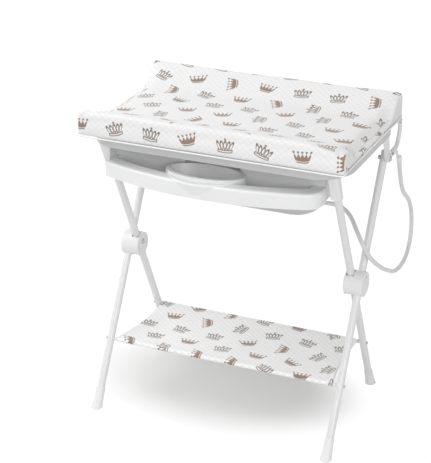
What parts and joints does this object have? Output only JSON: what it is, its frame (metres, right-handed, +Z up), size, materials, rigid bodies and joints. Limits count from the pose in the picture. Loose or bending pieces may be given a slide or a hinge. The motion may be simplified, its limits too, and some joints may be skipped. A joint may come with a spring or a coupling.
{
  "type": "changing table",
  "caption": "Folding changing table: padded board hinged over a baby bath on a scissor stand, with an organiser tray, soap bowl, drain hose and cloth shelf.",
  "frame": {"origin": "on the floor below the middle of the rigid parts' box", "axes": "+Z up; +X to the user's right, the drain side; the user stands on the -Y side; the legs fold about X"},
  "size_m": [0.8162, 0.7085, 0.964],
  "materials": {
    "white_tube": "gloss white powder coat",
    "white_plastic": "fine satin white",
    "tub_plastic": "smooth white moulding",
    "screw_steel": "zinc plated",
    "board": "smooth white panel",
    "printed_vinyl": "wipe-clean cloth, pale ground with brown crowns",
    "shelf_cloth": "woven cloth with the same print",
    "hose_vinyl": "soft grey-white hose"
  },
  "bodies": {
    "outer_frame": {"outer_leg_left": "white_tube", "outer_leg_right": "white_tube", "front_foot_left": "white_plastic", "front_foot_right": "white_plastic", "hub_inner_left": "white_plastic", "hub_inner_right": "white_plastic", "hub_outer_left": "white_plastic", "hub_outer_right": "white_plastic", "pivot_bolts": "screw_steel", "hub_screws": "screw_steel", "outer_leg_plugs": "white_plastic", "front_shelf_rod": "white_tube", "front_rod_screws": "screw_steel", "shelf_fabric": "shelf_cloth"},
    "inner_frame": {"inner_leg_left": "white_tube", "inner_leg_right": "white_tube", "rear_foot_left": "white_plastic", "rear_foot_right": "white_plastic", "inner_leg_plugs": "white_plastic", "rear_shelf_rod": "white_tube", "rear_rod_screws": "screw_steel"},
    "tub": {"bath_tub": "tub_plastic", "front_socket_left": "white_plastic", "front_socket_right": "white_plastic", "rear_bracket_left": "white_plastic", "rear_bracket_right": "white_plastic", "tub_screws": "screw_steel", "tub_pivot_bolts": "screw_steel", "organiser_tray": "tub_plastic", "soap_bowl": "tub_plastic", "drain_elbow": "white_plastic", "drain_hose": "hose_vinyl", "hose_hook": "white_plastic", "hinge_arm_left": "white_tube", "hinge_arm_right": "white_tube"},
    "changer": {"changer_board": "board", "changer_pad": "printed_vinyl", "changer_hinge_left": "screw_steel", "changer_hinge_right": "screw_steel", "hinge_pins": "screw_steel"},
    "plug": {"drain_plug": "white_plastic"}
  },
  "joints": [
    {"name": "leg_fold", "type": "hinge", "parent": "outer_frame", "child": "inner_frame", "pos_m": [0, 0.014, 0.459], "axis": [-1, 0, 0], "range_deg": [0, 48], "deforming": ["shelf_fabric", "drain_hose"]},
    {"name": "tub_tilt", "type": "hinge", "parent": "outer_frame", "child": "tub", "pos_m": [0, 0.19002, 0.77852], "axis": [-1, 0, 0], "range_deg": [0, 24]},
    {"name": "changer_flip", "type": "hinge", "parent": "tub", "child": "changer", "pos_m": [0, 0.2699, 0.8725], "axis": [-1, 0, 0], "range_deg": [0, 95]},
    {"name": "plug_lift", "type": "slide", "parent": "tub", "child": "plug", "axis": [0, 0, 1], "range_m": [0, 0.02]}
  ],
  "couplings": [
    {"joint": "tub_tilt", "follows": "leg_fold", "ratio": 0.5}
  ]
}
